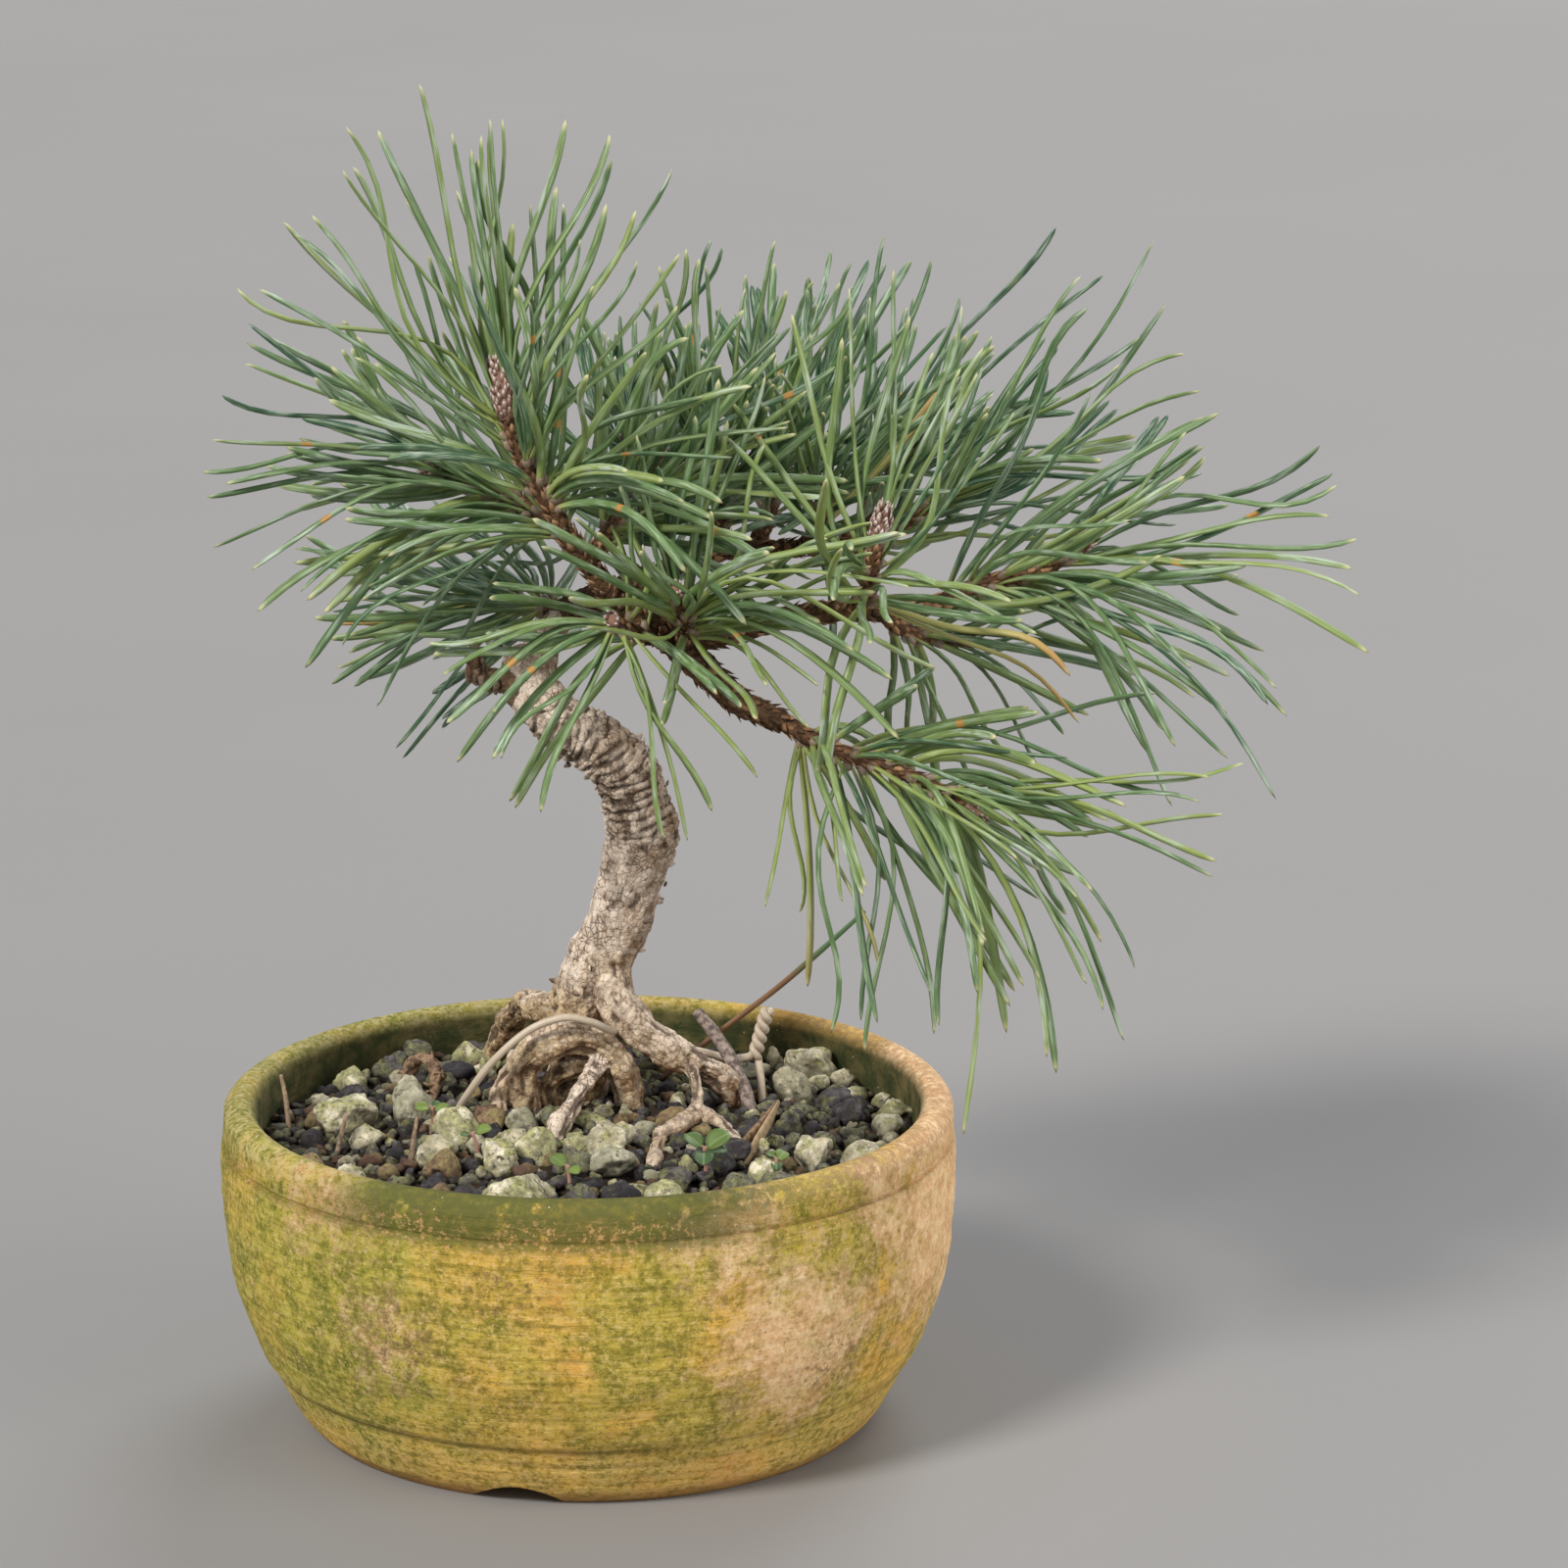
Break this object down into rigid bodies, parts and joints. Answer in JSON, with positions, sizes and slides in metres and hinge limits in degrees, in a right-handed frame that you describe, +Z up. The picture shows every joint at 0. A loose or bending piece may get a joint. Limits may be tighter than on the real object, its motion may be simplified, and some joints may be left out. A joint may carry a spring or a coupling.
{
  "type": "bonsai pine tree in a round clay pot",
  "caption": "Young two-needle pine bonsai with a curved trunk, exposed roots and spreading leafy shoots, wired into a round weathered clay pot of gravelly soil.",
  "frame": {"origin": "on the pot's axis, at the plane that the pot stands on", "axes": "+Z up along the pot's axis; -Y is the front, where the drainage groove leaves the foot and the low branch reaches to +X on the right"},
  "size_m": [0.2429, 0.1776, 0.2621],
  "materials": {
    "terracotta": "matte",
    "bark": "matte",
    "needle": "satin",
    "soil": "matte",
    "pumice": "matte",
    "lava": "matte",
    "red": "matte",
    "wire": "satin",
    "mesh": "matte",
    "litter": "matte",
    "seedling": "satin"
  },
  "bodies": {
    "root": {"anchor_wire": "wire", "dead_stick": "litter", "drain_mesh_1": "mesh", "drain_mesh_2": "mesh", "dry_stalk_front": "litter", "dry_stalk_left": "litter", "dry_stalk_middle": "litter", "dry_twig": "litter", "fallen_needle": "litter", "pot": "terracotta", "seedling_1": "seedling", "seedling_2": "seedling", "seedling_3": "seedling", "seedling_4": "seedling", "seedling_5": "seedling", "shoot_apex": "needle", "shoot_crown_back": "needle", "shoot_crown_left": "needle", "shoot_crown_middle": "needle", "shoot_crown_right": "needle", "shoot_fork_low": "needle", "shoot_fork_up": "needle", "shoot_front": "needle", "shoot_leader_back": "needle", "shoot_left": "needle", "shoot_low_left": "needle", "shoot_low_right": "needle", "shoot_right": "needle", "shoot_right_back": "needle", "shoot_right_top": "needle", "shoot_under": "needle", "soil": "soil", "stone_01": "pumice", "stone_02": "pumice", "stone_03": "red", "stone_04": "pumice", "stone_05": "pumice", "stone_06": "pumice", "stone_07": "lava", "stone_08": "lava", "stone_09": "pumice", "stone_10": "lava", "stone_11": "pumice", "stone_12": "pumice", "stone_13": "lava", "stone_14": "red", "stone_15": "pumice", "stone_16": "pumice", "stone_17": "lava", "stone_18": "pumice", "stone_19": "pumice", "stone_20": "pumice", "stone_21": "lava", "stone_22": "lava", "straw_sliver": "litter", "tree_wood": "bark"}
  },
  "joints": []
}
